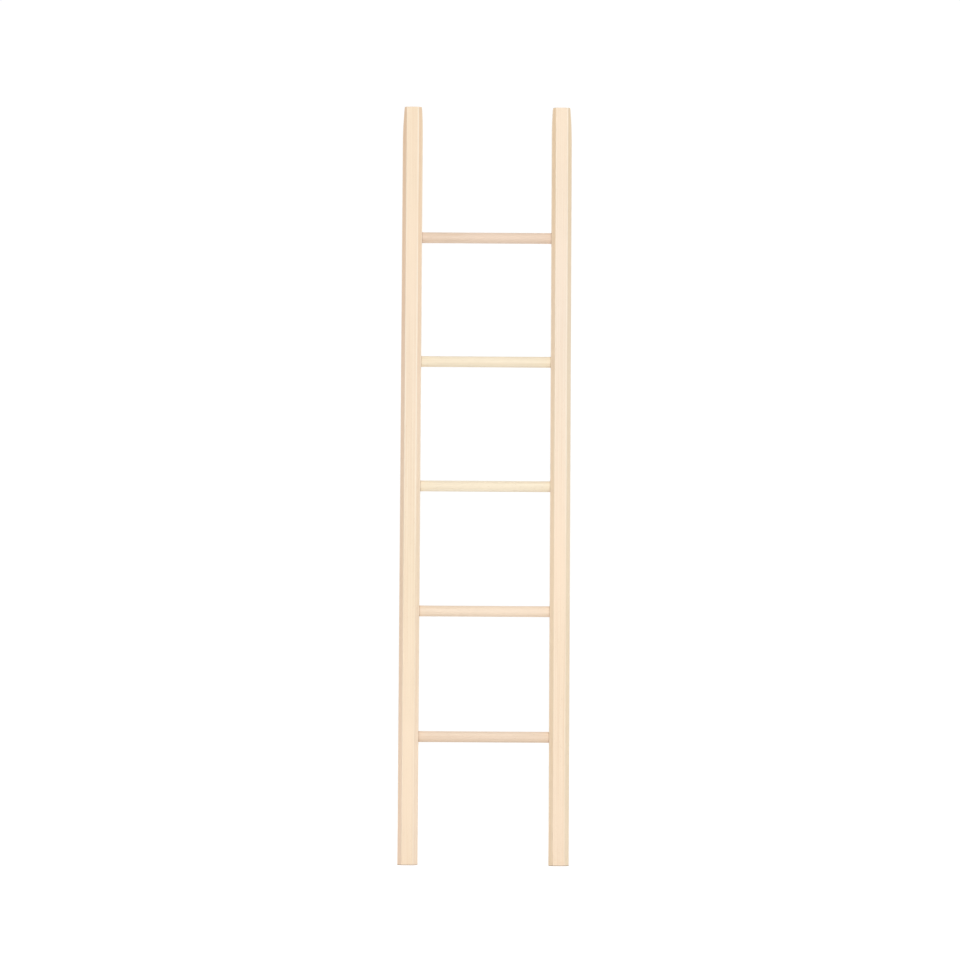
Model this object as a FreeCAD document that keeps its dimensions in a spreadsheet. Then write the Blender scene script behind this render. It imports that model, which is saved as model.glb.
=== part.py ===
"""Blanket ladder: two upright rails and five round rungs, all of pale wood.

Each rail is a square bar whose four long corners are cut flat, so that its section has eight sides.
Near the top its side faces curve in, the outer one more than the inner one, and the corner flats
run narrower, while front and back stay flat.
The rungs are plain dowels. Their ends are glued into stopped round mortises in the rails' inner sides.

The ladder stands upright on the plane z = 0 and is centred on x = 0 and y = 0. Its front faces -Y.
Sizes are in millimetres.
"""
import FreeCAD, Part
import Sketcher
import math
import os

from FreeCAD import Placement, Rotation, Vector

SIZES = [
    # name, value, what it is
    ("rail_length", 1820, "rail, foot to tip"),
    ("rail_width", 48, "rail, side to side"),
    ("rail_depth", 48, "rail, front to back"),
    ("corner_flat", 10, "what each long corner loses from the two faces it joins"),
    ("clear_width", 312, "gap between the rails"),
    ("inner_tip_length", 60, "stretch below the tip where the inner side curves in"),
    ("inner_tip_inset", 2.2, "how far the inner side has come in at the tip"),
    ("outer_tip_length", 90, "stretch below the tip where the outer side curves in"),
    ("outer_tip_inset", 4.2, "how far the outer side has come in at the tip"),
    ("arris_radius", 1.2, "easing of the long edges of a rail"),
    ("end_chamfer", 1.5, "easing round a rail's foot and tip"),
    ("rung_count", 5, "number of rungs"),
    ("rung_diameter", 26, "rung, across"),
    ("rung_lead_in", 1.5, "chamfer on a rung's end, hidden in the mortise"),
    ("rung_pitch", 300, "middle of one rung to middle of the next"),
    ("first_rung_height", 305, "foot to the middle of the lowest rung"),
    ("mortise_depth", 25, "mortise, from the rail's inner side to its floor"),
    ("glue_room", 1, "between a rung's end and the floor of its mortise"),
    ("fit_clearance", 0.05, "between a rung and the wall of its mortise, all round"),
]

# Room by which a cutting outline runs past the wood it cuts.
CUT_PAST = 10

# A point this near to the foot's or the tip's height is on it.
LEVEL_WITHIN = 0.1

MM3_PER_CM3 = 1000

# How a sketch numbers the points of a line or an arc, and its own two axes. The first axis starts
# at the sketch's origin.
START, END, CENTRE = 1, 2, 3
ACROSS_AXIS, UP_AXIS = -1, -2

doc = FreeCAD.newDocument("BlanketLadder")
sheet = doc.addObject("Spreadsheet::Sheet", "Sizes")
for row, (name, value, meaning) in enumerate(SIZES, start=1):
    sheet.set(f"A{row}", name)
    sheet.set(f"B{row}", str(value))
    sheet.set(f"C{row}", meaning)
    sheet.setAlias(f"B{row}", name)
doc.recompute()


# ---------------------------------------------------------------- sketches

def origin_feature(body, role):
    """The origin plane or axis of a body that has this role, such as XY_Plane."""
    return next(feature for feature in body.Origin.OriginFeatures if feature.Role == role)


def new_sketch(body, name, plane):
    sketch = body.newObject("Sketcher::SketchObject", name)
    sketch.AttachmentSupport = (origin_feature(body, plane), [""])
    sketch.MapMode = "FlatFace"
    return sketch


def set_size(sketch, name, formula, *constraint):
    """Adds a dimension to a sketch and ties it to the sheet."""
    index = sketch.addConstraint(Sketcher.Constraint(*constraint, 1.0))
    sketch.renameConstraint(index, name)
    sketch.setExpression(f"Constraints.{name}", formula)


def close_loop(sketch, edges):
    """Joins the end of each edge to the start of the next, all the way round."""
    for edge, following in zip(edges, edges[1:] + edges[:1]):
        sketch.addConstraint(Sketcher.Constraint("Coincident", edge, END, following, START))


def line(sketch, start, end):
    return sketch.addGeometry(Part.LineSegment(Vector(*start), Vector(*end)), False)


def rail_outline(sketch):
    """The square bar's section, as a rectangle centred on the origin."""
    wide = float(sheet.rail_width) / 2
    deep = float(sheet.rail_depth) / 2
    corners = [(-wide, -deep), (wide, -deep), (wide, deep), (-wide, deep)]
    edges = [line(sketch, a, b) for a, b in zip(corners, corners[1:] + corners[:1])]
    close_loop(sketch, edges)
    front, right, back, left = edges
    sketch.addConstraint([
        Sketcher.Constraint("Horizontal", front),
        Sketcher.Constraint("Horizontal", back),
        Sketcher.Constraint("Vertical", left),
        Sketcher.Constraint("Vertical", right),
        Sketcher.Constraint("Symmetric", front, START, back, START, ACROSS_AXIS, START),
    ])
    set_size(sketch, "width", "Sizes.rail_width", "DistanceX", front, START, front, END)
    set_size(sketch, "depth", "Sizes.rail_depth", "DistanceY", right, START, right, END)


def tip_outline(sketch, length_name, inset_name):
    """What the tip loses on the sketch's +X side.

    The curve leaves the side face with no kink, because its centre is level with its lower end.
    """
    side = float(sheet.rail_width) / 2
    top = float(sheet.rail_length)
    length = float(sheet.get(length_name))
    inset = float(sheet.get(inset_name))
    radius = (length ** 2 + inset ** 2) / (2 * inset)
    centre = Vector(side - radius, top - length, 0)
    circle = Part.Circle(centre, Vector(0, 0, 1), radius)
    curve = sketch.addGeometry(Part.ArcOfCircle(circle, 0, math.asin(length / radius)), False)
    rise = line(sketch, (side - inset, top), (side - inset, top + CUT_PAST))
    over = line(sketch, (side - inset, top + CUT_PAST), (side + CUT_PAST, top + CUT_PAST))
    down = line(sketch, (side + CUT_PAST, top + CUT_PAST), (side + CUT_PAST, top - length))
    back = line(sketch, (side + CUT_PAST, top - length), (side, top - length))
    close_loop(sketch, [curve, rise, over, down, back])
    sketch.addConstraint([
        Sketcher.Constraint("Vertical", rise),
        Sketcher.Constraint("Horizontal", over),
        Sketcher.Constraint("Vertical", down),
        Sketcher.Constraint("Horizontal", back),
        Sketcher.Constraint("Horizontal", curve, CENTRE, curve, START),
    ])
    set_size(sketch, "side", "Sizes.rail_width / 2", "DistanceX", ACROSS_AXIS, START, curve, START)
    set_size(sketch, "tip", "Sizes.rail_length", "DistanceY", ACROSS_AXIS, START, curve, END)
    set_size(sketch, "length", f"Sizes.{length_name}", "DistanceY", curve, START, curve, END)
    set_size(sketch, "inset", f"Sizes.{inset_name}", "DistanceX", curve, END, curve, START)
    sketch.addConstraint([
        Sketcher.Constraint("DistanceX", back, END, back, START, CUT_PAST),
        Sketcher.Constraint("DistanceY", rise, START, rise, END, CUT_PAST),
    ])


# ---------------------------------------------------------------- pieces

def long_edges(feature):
    """The names of the edges that run along the bar."""
    edges = enumerate(feature.Shape.Edges, start=1)
    shortest = float(sheet.inner_tip_length) / 2
    return [f"Edge{n}" for n, edge in edges if edge.BoundBox.ZLength > shortest]


def end_edges(feature):
    """The names of the edges that ring the bar's foot and tip."""
    names = []
    for number, edge in enumerate(feature.Shape.Edges, start=1):
        for level in (0, float(sheet.rail_length)):
            if all(abs(vertex.Z - level) < LEVEL_WITHIN for vertex in edge.Vertexes):
                names.append(f"Edge{number}")
    return names


def wood_removed(before, after):
    """Stops the build if a cut took nothing away."""
    if after.Shape.Volume >= before.Shape.Volume:
        raise RuntimeError(f"{after.Label} cut nothing")


def cut_tip(body, before, side, turn):
    """Curves one side of a rail's tip in: the inner side is +X, and the outer is turned to -X."""
    outline = new_sketch(body, f"{body.Label}_{side}_tip_outline", "XZ_Plane")
    outline.AttachmentOffset = Placement(Vector(0, 0, 0), Rotation(Vector(0, 1, 0), turn))
    tip_outline(outline, f"{side}_tip_length", f"{side}_tip_inset")
    curve = body.newObject("PartDesign::Pocket", f"{body.Label}_{side}_tip_curve")
    curve.Profile = outline
    curve.Type = "ThroughAll"
    curve.Midplane = True
    doc.recompute()
    wood_removed(before, curve)
    return curve


def make_rail(name, x_formula, turn):
    """A rail, made with its mortises on +X and turned about its own length into place."""
    body = doc.addObject("PartDesign::Body", name)
    body.Label = name

    section = new_sketch(body, f"{name}_section", "XY_Plane")
    rail_outline(section)
    bar = body.newObject("PartDesign::Pad", f"{name}_bar")
    bar.Profile = section
    bar.setExpression("Length", "Sizes.rail_length")
    doc.recompute()

    flats = body.newObject("PartDesign::Chamfer", f"{name}_corner_flats")
    flats.Base = (bar, long_edges(bar))
    flats.setExpression("Size", "Sizes.corner_flat")
    doc.recompute()

    inner_curve = cut_tip(body, flats, "inner", 0)
    outer_curve = cut_tip(body, inner_curve, "outer", 180)

    ends = body.newObject("PartDesign::Chamfer", f"{name}_eased_ends")
    ends.Base = (outer_curve, end_edges(outer_curve))
    ends.setExpression("Size", "Sizes.end_chamfer")
    doc.recompute()
    wood_removed(outer_curve, ends)

    arrises = body.newObject("PartDesign::Fillet", f"{name}_eased_arrises")
    arrises.Base = (ends, long_edges(ends))
    arrises.setExpression("Radius", "Sizes.arris_radius")
    doc.recompute()
    wood_removed(ends, arrises)

    mouth = new_sketch(body, f"{name}_mortise_mouth", "YZ_Plane")
    mouth.setExpression(".AttachmentOffset.Base.z", "Sizes.rail_width / 2")
    height = float(sheet.first_rung_height)
    ring = mouth.addGeometry(Part.Circle(Vector(0, height, 0), Vector(0, 0, 1), 1), False)
    mouth.addConstraint(Sketcher.Constraint("PointOnObject", ring, CENTRE, UP_AXIS))
    set_size(mouth, "height", "Sizes.first_rung_height", "DistanceY", ACROSS_AXIS, START, ring, CENTRE)
    set_size(mouth, "bore", "Sizes.rung_diameter + 2 * Sizes.fit_clearance", "Diameter", ring)
    mortise = body.newObject("PartDesign::Pocket", f"{name}_mortise")
    mortise.Profile = mouth
    mortise.Type = "Length"
    mortise.setExpression("Length", "Sizes.mortise_depth")
    doc.recompute()
    wood_removed(arrises, mortise)

    mortises = body.newObject("PartDesign::LinearPattern", f"{name}_mortises")
    mortises.Originals = [mortise]
    mortises.Direction = (origin_feature(body, "Z_Axis"), [""])
    mortises.setExpression("Occurrences", "Sizes.rung_count")
    mortises.setExpression("Length", "(Sizes.rung_count - 1) * Sizes.rung_pitch")
    body.Tip = mortises
    doc.recompute()
    wood_removed(mortise, mortises)

    body.Placement = Placement(Vector(0, 0, 0), Rotation(Vector(0, 0, 1), turn))
    body.setExpression(".Placement.Base.x", x_formula)
    return body


def make_rung(name, steps_up):
    """A dowel that lies along X, this many pitches above the lowest rung."""
    body = doc.addObject("PartDesign::Body", name)
    body.Label = name

    section = new_sketch(body, f"{name}_section", "YZ_Plane")
    ring = section.addGeometry(Part.Circle(Vector(0, 0, 0), Vector(0, 0, 1), 1), False)
    section.addConstraint(Sketcher.Constraint("Coincident", ring, CENTRE, ACROSS_AXIS, START))
    set_size(section, "across", "Sizes.rung_diameter", "Diameter", ring)
    dowel = body.newObject("PartDesign::Pad", f"{name}_dowel")
    dowel.Profile = section
    dowel.Midplane = True
    seat = "(Sizes.mortise_depth - Sizes.glue_room)"
    dowel.setExpression("Length", f"Sizes.clear_width + 2 * {seat}")
    doc.recompute()

    ends = [f"Edge{n}" for n, edge in enumerate(dowel.Shape.Edges, start=1) if edge.isClosed()]
    lead_in = body.newObject("PartDesign::Chamfer", f"{name}_lead_in")
    lead_in.Base = (dowel, ends)
    lead_in.setExpression("Size", "Sizes.rung_lead_in")
    doc.recompute()
    wood_removed(dowel, lead_in)

    body.setExpression(
        ".Placement.Base.z", f"Sizes.first_rung_height + {steps_up} * Sizes.rung_pitch"
    )
    return body


bodies = [
    make_rail("left_rail", "-(Sizes.clear_width + Sizes.rail_width) / 2", 0),
    make_rail("right_rail", "(Sizes.clear_width + Sizes.rail_width) / 2", 180),
]
for step in range(int(sheet.rung_count)):
    bodies.append(make_rung(f"rung_{step + 1}", step))
doc.recompute()

# ---------------------------------------------------------------- checks and files

for item in doc.Objects:
    if "Invalid" in item.State or "Error" in item.State:
        raise RuntimeError(f"{item.Label} failed: {item.State}")
for body in bodies:
    if body.Shape.isNull() or not body.Shape.isValid() or len(body.Shape.Solids) != 1:
        raise RuntimeError(f"{body.Label} is not one valid solid")

os.makedirs("parts", exist_ok=True)
for body in bodies:
    body.Shape.exportStep(f"parts/{body.Label}.step")
    print(f"{body.Label}: {body.Shape.Volume / MM3_PER_CM3:.1f} cm3, {len(body.Shape.Faces)} faces")
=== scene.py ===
"""Blanket ladder, dressed: two eight-sided rails and five dowel rungs of pale, matt-coated wood.

Each rail and each rung is modelled anew, in the place of the solid of the same name in the frame.
The rails keep their flat-cut corners, their tips that curve in and their blind mortises, and gain
rounded arrises, eased ends and eased mortise mouths. The wood is worked out in three dimensions,
so that the end grain at foot and tip belongs to the grain on the faces.

Lengths are in metres. The ladder stands on z = 0 and its front faces -Y.
"""
import math

import bmesh
import bpy
from bpy.props import FloatProperty, FloatVectorProperty, IntProperty, PointerProperty
from mathutils import Matrix, Vector


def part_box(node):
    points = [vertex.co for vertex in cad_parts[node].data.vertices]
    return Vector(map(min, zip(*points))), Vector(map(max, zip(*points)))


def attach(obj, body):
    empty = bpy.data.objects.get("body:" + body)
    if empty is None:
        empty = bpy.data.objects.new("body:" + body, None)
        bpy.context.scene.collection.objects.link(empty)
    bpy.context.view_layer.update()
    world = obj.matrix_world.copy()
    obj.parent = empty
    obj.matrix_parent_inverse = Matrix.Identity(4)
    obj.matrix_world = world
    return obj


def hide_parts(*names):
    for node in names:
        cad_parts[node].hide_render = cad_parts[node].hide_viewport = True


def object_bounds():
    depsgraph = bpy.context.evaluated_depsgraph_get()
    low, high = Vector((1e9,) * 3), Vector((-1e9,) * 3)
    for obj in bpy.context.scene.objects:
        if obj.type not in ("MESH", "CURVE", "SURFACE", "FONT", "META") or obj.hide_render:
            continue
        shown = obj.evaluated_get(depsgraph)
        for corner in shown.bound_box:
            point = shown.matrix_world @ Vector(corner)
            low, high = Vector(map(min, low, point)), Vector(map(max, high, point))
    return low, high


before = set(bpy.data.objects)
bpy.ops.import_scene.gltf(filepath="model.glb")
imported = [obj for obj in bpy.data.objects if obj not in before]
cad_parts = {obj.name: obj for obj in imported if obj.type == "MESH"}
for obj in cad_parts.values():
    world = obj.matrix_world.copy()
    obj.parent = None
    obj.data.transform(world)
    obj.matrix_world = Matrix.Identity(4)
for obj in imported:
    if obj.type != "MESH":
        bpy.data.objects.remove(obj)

bl_info = {
    "name": "Blanket Ladder",
    "version": (1, 0, 0),
    "blender": (4, 5, 0),
    "location": "3D View > Sidebar > Ladder",
    "description": "A wooden blanket ladder with its floor, lamps and camera",
    "category": "Add Mesh",
}

FRAME_BOX = [list(corner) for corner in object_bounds()]

RAILS = ("left_rail", "right_rail")
RUNGS = ("rung_1", "rung_2", "rung_3", "rung_4", "rung_5")

# A vertex or a face this near to a plane is on it.
NEAR = 1e-5

# Half the height of the plain face that is left round each mortise before it is cut.
MORTISE_BAND = 0.018

# A face whose middle is this near to a rail's foot or tip belongs to its sawn end.
END_REACH = 0.002

# The second material slot of every piece, for wood that is cut across its fibres.
ACROSS_GRAIN = 1

# Colours along a rail, from foot to tip, as how far up and what the wood is multiplied by. Partly the
# wood's own slow change of tone, partly painted light: the foot is painted brighter, and each rail
# as a whole is painted a little lighter or darker to even out the key lamp's light on it.
RAIL_TONE_AND_LIGHT = {
    "left_rail": (
        (0.0, (1.06, 1.07, 1.06)), (0.40, (0.985, 1.01, 0.985)),
        (0.62, (0.98, 1.01, 1.03)), (1.0, (0.985, 1.0, 0.98)),
    ),
    "right_rail": (
        (0.0, (1.05, 1.055, 1.05)), (0.40, (1.005, 1.015, 1.01)),
        (0.72, (0.98, 1.03, 1.10)), (1.0, (0.995, 1.02, 1.03)),
    ),
}

# Painted shade, with a little deeper colour, on a rail's corner flats and sides, as what the wood is
# multiplied by: those towards -X, and those towards +X.
FLAT_SHADE_TINTS = {
    "left_rail": ((0.945, 0.885, 0.875), (1.0, 0.99, 1.0)),
    "right_rail": ((0.89, 0.86, 0.80), (1.01, 1.03, 0.99)),
}

# Where the heart of the trunk lay beside each piece, across and behind.
HEARTS = {
    "left_rail": (0.061, 0.094),
    "right_rail": (-0.083, 0.072),
    "rung_1": (0.034, 0.052),
    "rung_2": (-0.047, 0.031),
    "rung_3": (0.058, 0.026),
    "rung_4": (-0.029, 0.066),
    "rung_5": (0.021, 0.043),
}

# What the colour of a rung is multiplied by, because no two dowels come from the same tree.
RUNG_TONES = {
    "rung_1": (0.955, 0.945, 0.965),
    "rung_2": (1.0, 1.02, 1.05),
    "rung_3": (1.03, 1.135, 1.165),
    "rung_4": (1.0, 1.09, 1.10),
    "rung_5": (0.89, 0.875, 0.905),
}

# The eye gets this share of the floor's glow, 0.87 of white, and for the rest the matt floor with
# the shadow under the feet. The surround looks white.
FLOOR_GLOW = 1.45
GLOW_SHARE = 0.6
SURROUND_SEEN = 1.02
WHITE = (1.0, 1.0, 1.0, 1.0)


# ---------------------------------------------------------------- values a user would change

class LadderSizes(bpy.types.PropertyGroup):
    """Sizes of the cuts and easings. The overall sizes come from the frame."""

    corner_flat: FloatProperty(
        name="Corner Flat",
        description="What each long corner of a rail loses from the two faces it joins",
        default=0.010, unit="LENGTH",
    )
    inner_tip_length: FloatProperty(
        name="Inner Tip Length",
        description="Stretch below a rail's tip where the side with the mortises curves in",
        default=0.060, unit="LENGTH",
    )
    inner_tip_inset: FloatProperty(
        name="Inner Tip Inset",
        description="How far the side with the mortises has come in at the tip",
        default=0.0022, unit="LENGTH",
    )
    outer_tip_length: FloatProperty(
        name="Outer Tip Length",
        description="Stretch below a rail's tip where the outer side curves in",
        default=0.090, unit="LENGTH",
    )
    outer_tip_inset: FloatProperty(
        name="Outer Tip Inset",
        description="How far the outer side has come in at the tip",
        default=0.0042, unit="LENGTH",
    )
    tip_stations: IntProperty(
        name="Tip Stations",
        description="Rings of vertices that carry the tip's curves",
        default=18, min=2,
    )
    easing: FloatProperty(
        name="Easing",
        description="Width of the rounding along every edge of a rail",
        default=0.0010, unit="LENGTH",
    )
    easing_segments: IntProperty(
        name="Easing Segments",
        description="Strips in each rounding",
        default=4, min=1,
    )
    mortise_depth: FloatProperty(
        name="Mortise Depth",
        description="From a rail's inner side to the floor of a mortise",
        default=0.025, unit="LENGTH",
    )
    mortise_room: FloatProperty(
        name="Mortise Room",
        description="Between a rung and the wall of its mortise, all round",
        default=0.00005, unit="LENGTH",
    )
    mouth_easing: FloatProperty(
        name="Mouth Easing",
        description="Rounding round the mouth of a mortise",
        default=0.0003, unit="LENGTH",
    )
    rung_lead_in: FloatProperty(
        name="Rung Lead-in",
        description="Bevel on the hidden end of a rung",
        default=0.0015, unit="LENGTH",
    )
    round_segments: IntProperty(
        name="Round Segments",
        description="Sides of a rung and of a mortise",
        default=96, min=64,
    )


class LadderFinish(bpy.types.PropertyGroup):
    """Colours and scale of the wood."""

    rail_colour: FloatVectorProperty(
        name="Rail Colour",
        description="Spring wood of the rails",
        default=(0.90, 0.735, 0.565), subtype="COLOR", min=0, max=1,
    )
    rung_colour: FloatVectorProperty(
        name="Rung Colour",
        description="Spring wood of the rungs",
        default=(0.90, 0.735, 0.565), subtype="COLOR", min=0, max=1,
    )
    ring_gap: FloatProperty(
        name="Ring Gap",
        description="Mean width of a growth ring",
        default=0.0021, unit="LENGTH",
    )
    ring_strength: FloatProperty(
        name="Ring Strength",
        description="How dark the summer wood of a ring is",
        default=0.85, min=0, max=1, subtype="FACTOR",
    )
    fleck_strength: FloatProperty(
        name="Fleck Strength",
        description="How dark the short pores are",
        default=0.60, min=0, max=1, subtype="FACTOR",
    )
    roughness: FloatProperty(
        name="Roughness",
        description="Matt coat, 0 mirror to 1 chalk",
        default=0.52, min=0, max=1, subtype="FACTOR",
    )


class LadderStudio(bpy.types.PropertyGroup):
    """Floor, lamps and camera."""

    floor_size: FloatProperty(
        name="Floor Size",
        description="Side of the square floor",
        default=40.0, unit="LENGTH",
    )
    surround: FloatProperty(
        name="Surround",
        description="Light that comes evenly from everywhere, where 1 shows a colour as it is",
        default=0.55, min=0,
    )
    key_power: FloatProperty(
        name="Key Lamp",
        description="Power of the tall soft lamp in front of the ladder",
        default=19.2, unit="POWER",
    )
    top_power: FloatProperty(
        name="Top Lamp",
        description="Power of the soft lamp above and in front of the ladder",
        default=11.2, unit="POWER",
    )
    rear_power: FloatProperty(
        name="Rear Lamps",
        description="Power of each of the two soft lamps behind the ladder, left and right",
        default=36.0, unit="POWER",
    )
    camera_place: FloatVectorProperty(
        name="Camera Place",
        description="Where the lens is",
        default=(-0.036, -8.0, 0.399), subtype="TRANSLATION", unit="LENGTH",
    )
    camera_pitch: FloatProperty(
        name="Camera Pitch",
        description="Tilt above the level",
        default=math.radians(3.727), subtype="ANGLE",
    )
    camera_yaw: FloatProperty(
        name="Camera Yaw",
        description="Turn to the left of straight on",
        default=math.radians(-0.167), subtype="ANGLE",
    )
    camera_roll: FloatProperty(
        name="Camera Roll",
        description="Turn about the line of sight",
        default=math.radians(0.354), subtype="ANGLE",
    )
    camera_lens: FloatProperty(
        name="Camera Lens",
        description="Focal length in millimetres on a 36 mm wide sensor",
        default=125.2,
    )


# ---------------------------------------------------------------- nodes

class NodeBench:
    """Adds nodes to one tree and wires them, so that a finish reads as a list of steps."""

    def __init__(self, tree):
        self.tree = tree
        tree.nodes.clear()

    def add(self, kind, inputs=None, **settings):
        node = self.tree.nodes.new(kind)
        for name, value in settings.items():
            setattr(node, name, value)
        for key, value in (inputs or {}).items():
            if isinstance(value, bpy.types.NodeSocket):
                self.tree.links.new(value, node.inputs[key])
            else:
                node.inputs[key].default_value = value
        return node

    def math(self, operation, a, b=0.0, c=0.0, clamp=False):
        inputs = {0: a, 1: b, 2: c}
        return self.add("ShaderNodeMath", inputs, operation=operation, use_clamp=clamp).outputs[0]

    def vector(self, operation, a, b=(0.0, 0.0, 0.0)):
        return self.add("ShaderNodeVectorMath", {0: a, 1: b}, operation=operation).outputs[0]

    def length(self, a):
        return self.add("ShaderNodeVectorMath", {0: a}, operation="LENGTH").outputs["Value"]

    def distance(self, a, b):
        return self.add("ShaderNodeVectorMath", {0: a, 1: b}, operation="DISTANCE").outputs["Value"]

    def noise(self, place, scale, detail=2.0, roughness=0.5):
        """Noise from 0 to 1 with its own scale along each axis."""
        stretched = self.vector("MULTIPLY", place, scale)
        inputs = {"Vector": stretched, "Scale": 1.0, "Detail": detail, "Roughness": roughness}
        return self.add("ShaderNodeTexNoise", inputs)

    def ramp(self, value, low, high, to_low=0.0, to_high=1.0):
        """Maps low..high smoothly onto to_low..to_high and holds it there outside."""
        inputs = {"Value": value, 1: low, 2: high, 3: to_low, 4: to_high}
        node = self.add("ShaderNodeMapRange", inputs, interpolation_type="SMOOTHSTEP")
        return node.outputs[0]

    def mix(self, factor, a, b, how="MIX"):
        """Mixes two colours."""
        inputs = {0: factor, 6: a, 7: b}
        node = self.add("ShaderNodeMix", inputs, data_type="RGBA", blend_type=how)
        return node.outputs[2]


def opaque(colour):
    return (*colour[:3], 1.0)


def scaled(colour, by):
    return tuple(part * factor for part, factor in zip(colour, by))


def wood_grain(bench, grain, finish, colour, end_grain):
    """Colour and height of the wood at a place in the trunk, whose heart is this space's Z axis."""
    # The rings aren't quite round, at a large scale and at a small one.
    wander = bench.noise(grain, (8.0, 8.0, 0.8), detail=1.0).outputs["Color"]
    wander = bench.vector("SUBTRACT", wander, (0.5, 0.5, 0.5))
    wander = bench.vector("MULTIPLY", wander, (0.016, 0.016, 0.0))
    ripple = bench.noise(grain, (75.0, 75.0, 3.5), detail=1.0).outputs["Color"]
    ripple = bench.vector("SUBTRACT", ripple, (0.5, 0.5, 0.5))
    ripple = bench.vector("MULTIPLY", ripple, (0.0016, 0.0016, 0.0))
    trunk = bench.vector("ADD", bench.vector("ADD", grain, wander), ripple)
    radius = bench.length(bench.vector("MULTIPLY", trunk, (1.0, 1.0, 0.0)))

    # Year rings of uneven width, each with a darker band of summer wood before its sharp edge.
    years = bench.math("DIVIDE", radius, finish.ring_gap)
    inputs = {"W": years, "Scale": 0.35, "Detail": 1.0}
    weather = bench.add("ShaderNodeTexNoise", inputs, noise_dimensions="1D").outputs["Fac"]
    years = bench.math("MULTIPLY_ADD", weather, 3.0, years)
    season = bench.math("FRACT", years)
    summer = bench.math("MULTIPLY", bench.ramp(season, 0.45, 0.9), bench.ramp(season, 1.0, 0.93))
    year = bench.math("FLOOR", years)
    vigour = bench.add("ShaderNodeTexWhiteNoise", {"W": year}, noise_dimensions="1D").outputs["Value"]
    summer = bench.math("MULTIPLY", summer, bench.ramp(vigour, 0.0, 1.0, 0.35, 1.0))

    # Fibres and streaks along the grain, and a slow change of colour.
    fibre = bench.noise(grain, (1300.0, 1300.0, 26.0), detail=3.0, roughness=0.6).outputs["Fac"]
    streak = bench.noise(grain, (170.0, 170.0, 1.7), detail=2.0).outputs["Fac"]
    drift = bench.noise(grain, (7.0, 7.0, 2.4), detail=1.0).outputs["Fac"]

    # Pores, long and thin, in some of the cells only.
    cells = bench.vector("MULTIPLY", grain, (850.0, 850.0, 70.0))
    pores = bench.add("ShaderNodeTexVoronoi", {"Vector": cells, "Scale": 1.0})
    pick = bench.add("ShaderNodeSeparateColor", {0: pores.outputs["Color"]}).outputs[0]
    dot = bench.ramp(pores.outputs["Distance"], 0.24, 0.12)
    pore = bench.math("MULTIPLY", dot, bench.ramp(pick, 0.55, 0.75))

    summer_colour = opaque(scaled(colour, (0.78, 0.66, 0.55) if end_grain else (0.90, 0.82, 0.74)))
    pore_colour = opaque(scaled(colour, (0.70, 0.60, 0.50)))
    tone = bench.mix(bench.math("MULTIPLY", summer, finish.ring_strength), opaque(colour), summer_colour)
    streak_colour = opaque(scaled(colour, (0.93, 0.88, 0.83)))
    tone = bench.mix(bench.ramp(streak, 0.40, 0.72, 0.0, 0.75), tone, streak_colour)
    tone = bench.mix(bench.ramp(fibre, 0.35, 0.75, 0.0, 0.30), tone, streak_colour)
    tone = bench.mix(bench.math("MULTIPLY", pore, finish.fleck_strength), tone, pore_colour)
    pink = opaque(scaled(colour, (1.0, 0.975, 0.965)))
    tone = bench.mix(bench.ramp(drift, 0.42, 0.62, 0.0, 0.8), tone, pink)
    if end_grain:
        tone = bench.mix(1.0, tone, (0.89, 0.83, 0.76, 1.0), "MULTIPLY")

    height = bench.math("MULTIPLY_ADD", summer, 0.35, fibre)
    height = bench.math("MULTIPLY_ADD", pore, -1.2, height)
    return tone, height, fibre


def finish_wood(bench, tone, height, fibre, finish, end_grain):
    """A matt coat, which the sawn ends soak up."""
    matt = finish.roughness + (0.14 if end_grain else 0.0)
    rough = bench.ramp(fibre, 0.3, 0.7, matt - 0.05, matt + 0.07)
    bump = bench.add("ShaderNodeBump", {"Strength": 0.35, "Distance": 0.00012, "Height": height})
    inputs = {"Base Color": tone, "Roughness": rough, "Normal": bump.outputs["Normal"]}
    shader = bench.add("ShaderNodeBsdfPrincipled", inputs)
    shader.inputs["Specular IOR Level"].default_value = 0.3
    bench.add("ShaderNodeOutputMaterial", {"Surface": shader.outputs["BSDF"]})


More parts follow.
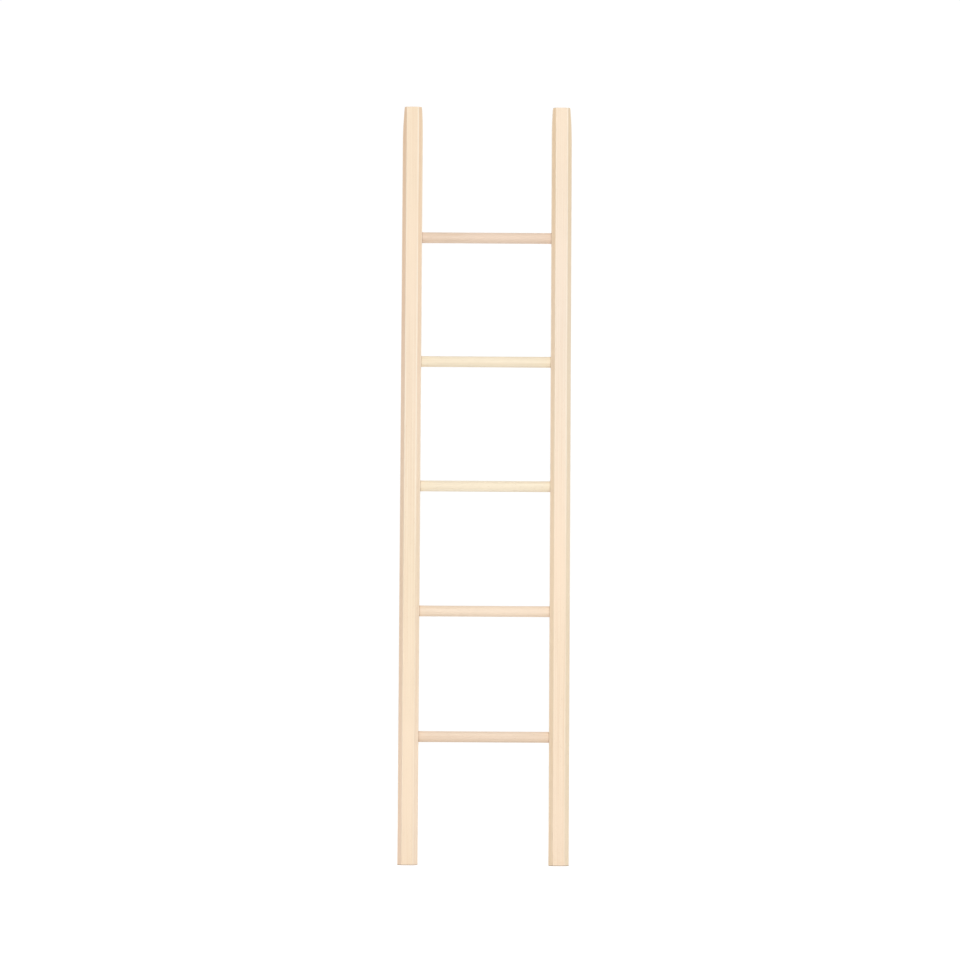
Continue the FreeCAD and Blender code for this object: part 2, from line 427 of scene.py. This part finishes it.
def rail_wood(node, sizes, finish, end_grain):
    """The wood of one rail: its faces, or its sawn ends."""
    low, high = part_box(node)
    middle = (low + high) / 2
    side = "left" if middle.x < 0 else "right"
    material = bpy.data.materials.new(f"{side}_rail_{'ends' if end_grain else 'faces'}")
    material.use_nodes = True
    bench = NodeBench(material.node_tree)
    place = bench.add("ShaderNodeTexCoord").outputs["Object"]
    heart = HEARTS[node]
    inputs = {
        "Vector": place,
        "Location": (heart[0] - middle.x, -heart[1], 0.37 * middle.x),
        "Rotation": (math.radians(0.42), math.radians(-0.3 if middle.x < 0 else 0.36), 0.0),
    }
    grain = bench.add("ShaderNodeMapping", inputs).outputs["Vector"]
    tone, height, fibre = wood_grain(bench, grain, finish, finish.rail_colour, end_grain)

    # Slow change of colour from foot to tip: partly the wood's own tone, partly painted light that
    # brightens the foot.
    up = bench.add("ShaderNodeSeparateXYZ", {0: place}).outputs["Z"]
    along = bench.add("ShaderNodeValToRGB", {0: bench.math("DIVIDE", up, high.z)})
    stops = RAIL_TONE_AND_LIGHT[node]
    elements = along.color_ramp.elements
    while len(elements) < len(stops):
        elements.new(0.5)
    for element, (where, by) in zip(elements, stops):
        element.position = where
        element.color = opaque(by)
    tone = bench.mix(1.0, tone, along.outputs["Color"], "MULTIPLY")

    # How far a place is from the nearest long arris. The rail's section is folded into one
    # quarter by symmetry, and towards the tip the side arrises run in with their faces.
    centred = bench.vector("SUBTRACT", place, (middle.x, middle.y, 0.0))
    folded = bench.vector("MULTIPLY", bench.vector("ABSOLUTE", centred), (1.0, 1.0, 0.0))
    across = (high.x - low.x) / 2
    deep = (high.y - low.y) / 2
    sideways = bench.add("ShaderNodeSeparateXYZ", {0: centred}).outputs["X"]
    inwards = bench.math("MULTIPLY", sideways, -math.copysign(1, middle.x))
    is_inner = bench.math("GREATER_THAN", inwards, 0.0)
    insets = []
    for reach, most in (
        (sizes.outer_tip_length, sizes.outer_tip_inset),
        (sizes.inner_tip_length, sizes.inner_tip_inset),
    ):
        past = bench.math("MAXIMUM", bench.math("SUBTRACT", up, high.z - reach), 0.0)
        insets.append(bench.math("MULTIPLY", bench.math("POWER", past, 2.0), most / reach ** 2))
    change = bench.math("SUBTRACT", insets[1], insets[0])
    inset = bench.math("MULTIPLY_ADD", change, is_inner, insets[0])
    side_arris = bench.add("ShaderNodeCombineXYZ", {
        0: bench.math("SUBTRACT", across, inset),
        1: bench.math("ADD", deep - sizes.corner_flat, inset),
    }).outputs[0]
    from_side = bench.distance(folded, side_arris)
    from_front = bench.distance(folded, (across - sizes.corner_flat, deep, 0.0))
    beside = bench.math("MINIMUM", from_front, from_side)

    # Painted shade: the corner flats and the sides are painted darker than front and back, most of all
    # those towards -X, and a little deeper in colour, more so towards the tip.
    from_middle = bench.add("ShaderNodeSeparateXYZ", {0: folded}).outputs["Y"]
    flat_shade_mask = bench.ramp(from_middle, deep - 0.0002, deep - 0.0010)
    towards_right = bench.ramp(sideways, -across, across)
    left_flat_shade, right_flat_shade = (opaque(flat_shade) for flat_shade in FLAT_SHADE_TINTS[node])
    higher = bench.ramp(up, high.z * 0.3, high.z * 0.9)
    flat_shade_drift = bench.mix(higher, (1.015, 1.03, 1.05, 1.0), (0.985, 0.945, 0.89, 1.0))
    flat_shade = bench.mix(1.0, bench.mix(towards_right, left_flat_shade, right_flat_shade), flat_shade_drift, "MULTIPLY")
    tone = bench.mix(flat_shade_mask, tone, bench.mix(1.0, tone, flat_shade, "MULTIPLY"))

    # Painted highlight: the arrises are painted lighter, most of all those towards +X and those of the
    # upper half.
    patchy = bench.noise(place, (60.0, 60.0, 5.0)).outputs["Fac"]
    arris_highlight = bench.ramp(beside, 0.0023, 0.0009, 0.0, 0.85)
    arris_highlight = bench.math("MULTIPLY", arris_highlight, bench.ramp(patchy, 0.3, 0.6, 0.45, 1.0))
    arris_highlight = bench.math("MULTIPLY", arris_highlight, bench.ramp(sideways, -across / 2, across / 2, 0.5, 1.0))
    arris_highlight = bench.math("MULTIPLY", arris_highlight, bench.ramp(up, high.z * 0.35, high.z * 0.6, 0.35, 1.0))
    tone = bench.mix(arris_highlight, tone, opaque(scaled(finish.rail_colour, (1.05, 1.13, 1.22))))

    # Painted shadow: the last millimetre above the floor is painted grey.
    foot_shadow = bench.ramp(up, 0.0024, 0.0008)
    tone = bench.mix(foot_shadow, tone, bench.mix(1.0, tone, (0.46, 0.45, 0.46, 1.0), "MULTIPLY"))

    finish_wood(bench, tone, height, fibre, finish, end_grain)
    return material


def rung_wood(node, finish, end_grain):
    """The wood of one rung: its round side, or its sawn ends."""
    low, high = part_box(node)
    middle = (low + high) / 2
    material = bpy.data.materials.new(f"{node}_{'ends' if end_grain else 'side'}")
    material.use_nodes = True
    bench = NodeBench(material.node_tree)
    place = bench.add("ShaderNodeTexCoord").outputs["Object"]
    centred = bench.vector("SUBTRACT", place, tuple(middle))
    heart = HEARTS[node]
    # The trunk ran along X, so the grain's Z axis is turned to lie there.
    inputs = {
        "Vector": centred,
        "Location": (heart[0], heart[1], 2.3 * middle.z),
        "Rotation": (math.radians(1.1), math.radians(-90), 0.0),
    }
    grain = bench.add("ShaderNodeMapping", inputs).outputs["Vector"]
    colour = scaled(finish.rung_colour, RUNG_TONES[node])
    tone, height, fibre = wood_grain(bench, grain, finish, colour, end_grain)

    # Painted shade: the last two millimetres of a rung before each rail are painted darker.
    along = bench.math("ABSOLUTE", bench.add("ShaderNodeSeparateXYZ", {0: centred}).outputs["X"])
    shoulder = (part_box("right_rail")[0].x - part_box("left_rail")[1].x) / 2
    joint_shade = bench.ramp(along, shoulder - 0.0022, shoulder - 0.0004)
    tone = bench.mix(joint_shade, tone, bench.mix(1.0, tone, (0.72, 0.66, 0.60, 1.0), "MULTIPLY"))

    finish_wood(bench, tone, height, fibre, finish, end_grain)
    return material


# ---------------------------------------------------------------- shapes

def all_of(bm):
    return bm.verts[:] + bm.edges[:] + bm.faces[:]


def cut_across(bm, height):
    """Adds a ring of vertices at this height."""
    bmesh.ops.bisect_plane(bm, geom=all_of(bm), plane_co=(0, 0, height), plane_no=(0, 0, 1))


def tip_inset(sizes, inner, below):
    """How far a side face has come in, this far below the tip."""
    reach = sizes.inner_tip_length if inner else sizes.outer_tip_length
    inset = sizes.inner_tip_inset if inner else sizes.outer_tip_inset
    radius = (reach ** 2 + inset ** 2) / (2 * inset)
    return radius - math.sqrt(radius ** 2 - max(0.0, reach - below) ** 2)


def rail_bar(sizes, width, depth, length, heights):
    """A rail on its foot, centred on the Z axis, with no mortises yet."""
    bm = bmesh.new()
    bmesh.ops.create_cube(bm, size=1.0)
    bmesh.ops.translate(bm, vec=(0, 0, 0.5), verts=bm.verts)
    bmesh.ops.scale(bm, vec=(width, depth, length), verts=bm.verts)
    upright = [edge for edge in bm.edges if edge.calc_length() > length - NEAR]
    bmesh.ops.bevel(
        bm, geom=upright, offset=sizes.corner_flat, offset_type="OFFSET",
        segments=1, profile=0.5, affect="EDGES", material=-1,
    )

    # Each side face curves in towards the tip, and its edges slide in along the corner flats.
    for station in range(sizes.tip_stations):
        cut_across(bm, length - sizes.outer_tip_length * (1 - station / sizes.tip_stations))
    for vertex in bm.verts:
        if abs(vertex.co.x) > width / 2 - NEAR:
            inset = tip_inset(sizes, vertex.co.x > 0, length - vertex.co.z)
            vertex.co.x -= math.copysign(inset, vertex.co.x)
            vertex.co.y += math.copysign(inset, vertex.co.y)

    # A ring above and below every mortise leaves one plain face to cut it into.
    for height in heights:
        cut_across(bm, height - MORTISE_BAND)
        cut_across(bm, height + MORTISE_BAND)

    sharp = [edge for edge in bm.edges if edge.calc_face_angle(0.0) > math.radians(20)]
    eased = bmesh.ops.bevel(
        bm, geom=sharp, offset=sizes.easing, offset_type="WIDTH",
        segments=sizes.easing_segments, profile=0.5, affect="EDGES", material=-1,
    )
    for face in eased["faces"]:
        face.smooth = True
    return bm


def cut_mortise(bm, sizes, side, height, radius):
    """Sinks a round blind hole with an eased mouth into the +X side."""
    centre = Vector((side, 0, height))
    faces = [face for face in bm.faces if abs(face.normal.x - 1) < NEAR]
    face = min(faces, key=lambda face: (face.calc_center_bounds() - centre).length)
    rim = list(face.edges)
    bmesh.ops.delete(bm, geom=[face], context="FACES_ONLY")
    turn = Matrix.Translation(centre) @ Matrix.Rotation(math.radians(90), 4, "Y")
    easing = sizes.mouth_easing
    ring = bmesh.ops.create_circle(
        bm, segments=sizes.round_segments, radius=radius + easing, matrix=turn,
    )
    mouth = [edge for edge in bm.edges if all(vertex in ring["verts"] for vertex in edge.verts)]
    bmesh.ops.triangle_fill(bm, use_beauty=True, edges=rim + mouth, normal=(1, 0, 0))

    steps = 3
    rings = []
    for step in range(1, steps + 1):
        angle = math.radians(90) * step / steps
        rings.append((radius + easing * (1 - math.sin(angle)), easing * (1 - math.cos(angle))))
    rings.append((radius, sizes.mortise_depth))
    now, sunk, edges = radius + easing, 0.0, mouth
    for wide, deep in rings:
        grown = bmesh.ops.extrude_edge_only(bm, edges=edges)["geom"]
        verts = [item for item in grown if isinstance(item, bmesh.types.BMVert)]
        edges = [item for item in grown if isinstance(item, bmesh.types.BMEdge)]
        edges = [edge for edge in edges if all(vertex in verts for vertex in edge.verts)]
        for item in grown:
            if isinstance(item, bmesh.types.BMFace):
                item.smooth = True
                item.material_index = ACROSS_GRAIN
        space = Matrix.Translation(-centre)
        bmesh.ops.scale(bm, vec=(1, wide / now, wide / now), space=space, verts=verts)
        bmesh.ops.translate(bm, vec=(sunk - deep, 0, 0), verts=verts)
        now, sunk = wide, deep
    bmesh.ops.edgeloop_fill(bm, edges=edges)


def rung_dowel(sizes, radius, length):
    """A dowel along X, centred on the origin."""
    bm = bmesh.new()
    turn = Matrix.Rotation(math.radians(90), 4, "Y")
    bmesh.ops.create_cone(
        bm, cap_ends=True, segments=sizes.round_segments, radius1=radius, radius2=radius,
        depth=length, matrix=turn,
    )
    for face in bm.faces:
        face.smooth = abs(face.normal.x) < 0.5
    rims = [edge for edge in bm.edges if edge.calc_face_angle(0.0) > math.radians(60)]
    bmesh.ops.bevel(
        bm, geom=rims, offset=sizes.rung_lead_in, offset_type="OFFSET",
        segments=2, profile=0.5, affect="EDGES", material=-1,
    )
    return bm


def into_scene(bm, name, node, materials):
    """Closes the work on a mesh, gives it its woods and puts it in the frame node's place."""
    bmesh.ops.recalc_face_normals(bm, faces=bm.faces)
    if any(not edge.is_manifold for edge in bm.edges):
        raise RuntimeError(f"{name} has an open edge")
    mesh = bpy.data.meshes.new(name)
    bm.to_mesh(mesh)
    bm.free()
    for material in materials:
        mesh.materials.append(material)
    piece = bpy.data.objects.new(name, mesh)
    bpy.context.collection.objects.link(piece)
    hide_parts(node)
    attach(piece, "root")
    return piece


# ---------------------------------------------------------------- operators

class LADDER_OT_rails(bpy.types.Operator):
    """Adds the two rails, with a mortise for every rung"""

    bl_idname = "ladder.rails"
    bl_label = "Add Rails"

    def execute(self, context):
        sizes = context.scene.ladder_sizes
        finish = context.scene.ladder_finish
        rung_boxes = [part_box(rung) for rung in RUNGS]
        heights = [(low.z + high.z) / 2 for low, high in rung_boxes]
        bore = (rung_boxes[0][1].z - rung_boxes[0][0].z) / 2 + sizes.mortise_room
        for node in RAILS:
            low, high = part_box(node)
            size = high - low
            middle = (low + high) / 2
            bm = rail_bar(sizes, size.x, size.y, size.z, heights)
            for height in heights:
                cut_mortise(bm, sizes, size.x / 2, height, bore)
            turn = 0.0 if middle.x < 0 else math.radians(180)
            place = Matrix.Translation((middle.x, middle.y, 0)) @ Matrix.Rotation(turn, 4, "Z")
            bmesh.ops.transform(bm, matrix=place, verts=bm.verts)
            for face in bm.faces:
                up = face.calc_center_median().z
                if min(up, high.z - up) < END_REACH and abs(face.normal.z) > 0.2:
                    face.material_index = ACROSS_GRAIN
            materials = [rail_wood(node, sizes, finish, ends) for ends in (False, True)]
            piece = into_scene(bm, f"{node}_dressed", node, materials)
        return {"FINISHED"}


class LADDER_OT_rungs(bpy.types.Operator):
    """Adds the five rungs, seated in the rails' mortises"""

    bl_idname = "ladder.rungs"
    bl_label = "Add Rungs"

    def execute(self, context):
        sizes = context.scene.ladder_sizes
        finish = context.scene.ladder_finish
        for node in RUNGS:
            low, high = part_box(node)
            bm = rung_dowel(sizes, (high.z - low.z) / 2, high.x - low.x)
            bmesh.ops.translate(bm, vec=(low + high) / 2, verts=bm.verts)
            for face in bm.faces:
                if abs(face.normal.x) > 0.5:
                    face.material_index = ACROSS_GRAIN
            materials = [rung_wood(node, finish, ends) for ends in (False, True)]
            piece = into_scene(bm, f"{node}_dressed", node, materials)
        return {"FINISHED"}


class LADDER_OT_studio(bpy.types.Operator):
    """Adds the white floor and surround, the soft lamps and the camera"""

    bl_idname = "ladder.studio"
    bl_label = "Add Studio"

    def execute(self, context):
        studio = context.scene.ladder_studio
        self.add_floor(studio)
        self.add_surround(context.scene, studio)
        middle = (FRAME_BOX[0][2] + FRAME_BOX[1][2]) / 2
        self.add_lamp("key_lamp", (0.04, -2.2, middle - 0.1), (0.8, 1.6), studio.key_power)
        self.add_lamp("top_lamp", (0.0, -1.2, middle + 2.0), (1.6, 1.2), studio.top_power)
        self.add_lamp("left_lamp", (-2.7, 2.8, 1.6), (2.5, 2.5), studio.rear_power)
        self.add_lamp("right_lamp", (2.7, 2.8, 1.6), (2.5, 2.5), studio.rear_power)
        self.add_camera(context.scene, studio)
        context.scene.view_settings.view_transform = "Standard"
        return {"FINISHED"}

    def seen_by_eye(self, bench):
        """1 for what the lens sees, straight or in a gloss or glass, and 0 for light on the ladder."""
        path = bench.add("ShaderNodeLightPath").outputs
        seen = bench.math("ADD", path["Is Camera Ray"], path["Is Glossy Ray"])
        return bench.math("ADD", seen, path["Is Transmission Ray"], clamp=True)

    def add_floor(self, studio):
        bm = bmesh.new()
        bmesh.ops.create_grid(bm, x_segments=1, y_segments=1, size=studio.floor_size / 2)
        mesh = bpy.data.meshes.new("floor")
        bm.to_mesh(mesh)
        bm.free()
        material = bpy.data.materials.new("floor_white")
        material.use_nodes = True
        bench = NodeBench(material.node_tree)
        matt = bench.add("ShaderNodeBsdfDiffuse", {"Color": (0.85, 0.85, 0.85, 1.0)})
        glow = bench.add("ShaderNodeEmission", {"Color": WHITE, "Strength": FLOOR_GLOW})
        share = bench.math("MULTIPLY", self.seen_by_eye(bench), GLOW_SHARE)
        both = bench.add("ShaderNodeMixShader", {0: share, 1: matt.outputs[0], 2: glow.outputs[0]})
        bench.add("ShaderNodeOutputMaterial", {"Surface": both.outputs[0]})
        mesh.materials.append(material)
        floor = bpy.data.objects.new("floor", mesh)
        bpy.context.collection.objects.link(floor)

    def add_surround(self, scene, studio):
        world = bpy.data.worlds.new("surround")
        world.use_nodes = True
        bench = NodeBench(world.node_tree)
        inputs = {"Value": self.seen_by_eye(bench), 3: studio.surround, 4: SURROUND_SEEN}
        strength = bench.add("ShaderNodeMapRange", inputs).outputs[0]
        sky = bench.add("ShaderNodeBackground", {"Color": WHITE, "Strength": strength})
        bench.add("ShaderNodeOutputWorld", {"Surface": sky.outputs[0]})
        scene.world = world

    def add_lamp(self, name, place, size, power):
        lamp = bpy.data.lights.new(name, "AREA")
        lamp.shape = "RECTANGLE"
        lamp.size, lamp.size_y = size
        lamp.energy = power
        holder = bpy.data.objects.new(name, lamp)
        aim = Vector((0, 0, (FRAME_BOX[0][2] + FRAME_BOX[1][2]) / 2)) - Vector(place)
        holder.rotation_euler = aim.to_track_quat("-Z", "Y").to_euler()
        holder.location = place
        bpy.context.collection.objects.link(holder)

    def add_camera(self, scene, studio):
        lens = bpy.data.cameras.new("camera")
        lens.sensor_width = 36.0
        lens.lens = studio.camera_lens
        camera = bpy.data.objects.new("camera", lens)
        turn = Matrix.Rotation(studio.camera_yaw, 4, "Z")
        turn @= Matrix.Rotation(math.radians(90) + studio.camera_pitch, 4, "X")
        turn @= Matrix.Rotation(studio.camera_roll, 4, "Z")
        camera.matrix_world = Matrix.Translation(studio.camera_place) @ turn
        bpy.context.collection.objects.link(camera)
        scene.camera = camera


class LADDER_PT_sidebar(bpy.types.Panel):
    """Lists the ladder's pieces and values"""

    bl_idname = "LADDER_PT_sidebar"
    bl_label = "Blanket Ladder"
    bl_space_type = "VIEW_3D"
    bl_region_type = "UI"
    bl_category = "Ladder"

    def draw(self, context):
        layout = self.layout
        scene = context.scene
        for operator in (LADDER_OT_rails, LADDER_OT_rungs, LADDER_OT_studio):
            layout.operator(operator.bl_idname)
        for group in (scene.ladder_sizes, scene.ladder_finish, scene.ladder_studio):
            box = layout.box()
            for name in group.__annotations__:
                box.prop(group, name)


CLASSES = (
    LadderSizes, LadderFinish, LadderStudio,
    LADDER_OT_rails, LADDER_OT_rungs, LADDER_OT_studio, LADDER_PT_sidebar,
)


def register():
    for cls in CLASSES:
        bpy.utils.register_class(cls)
    bpy.types.Scene.ladder_sizes = PointerProperty(type=LadderSizes)
    bpy.types.Scene.ladder_finish = PointerProperty(type=LadderFinish)
    bpy.types.Scene.ladder_studio = PointerProperty(type=LadderStudio)


def unregister():
    del bpy.types.Scene.ladder_studio
    del bpy.types.Scene.ladder_finish
    del bpy.types.Scene.ladder_sizes
    for cls in reversed(CLASSES):
        bpy.utils.unregister_class(cls)


def main():
    register()
    bpy.ops.ladder.rails()
    bpy.ops.ladder.rungs()
    bpy.ops.ladder.studio()


if __name__ == "__main__":
    main()
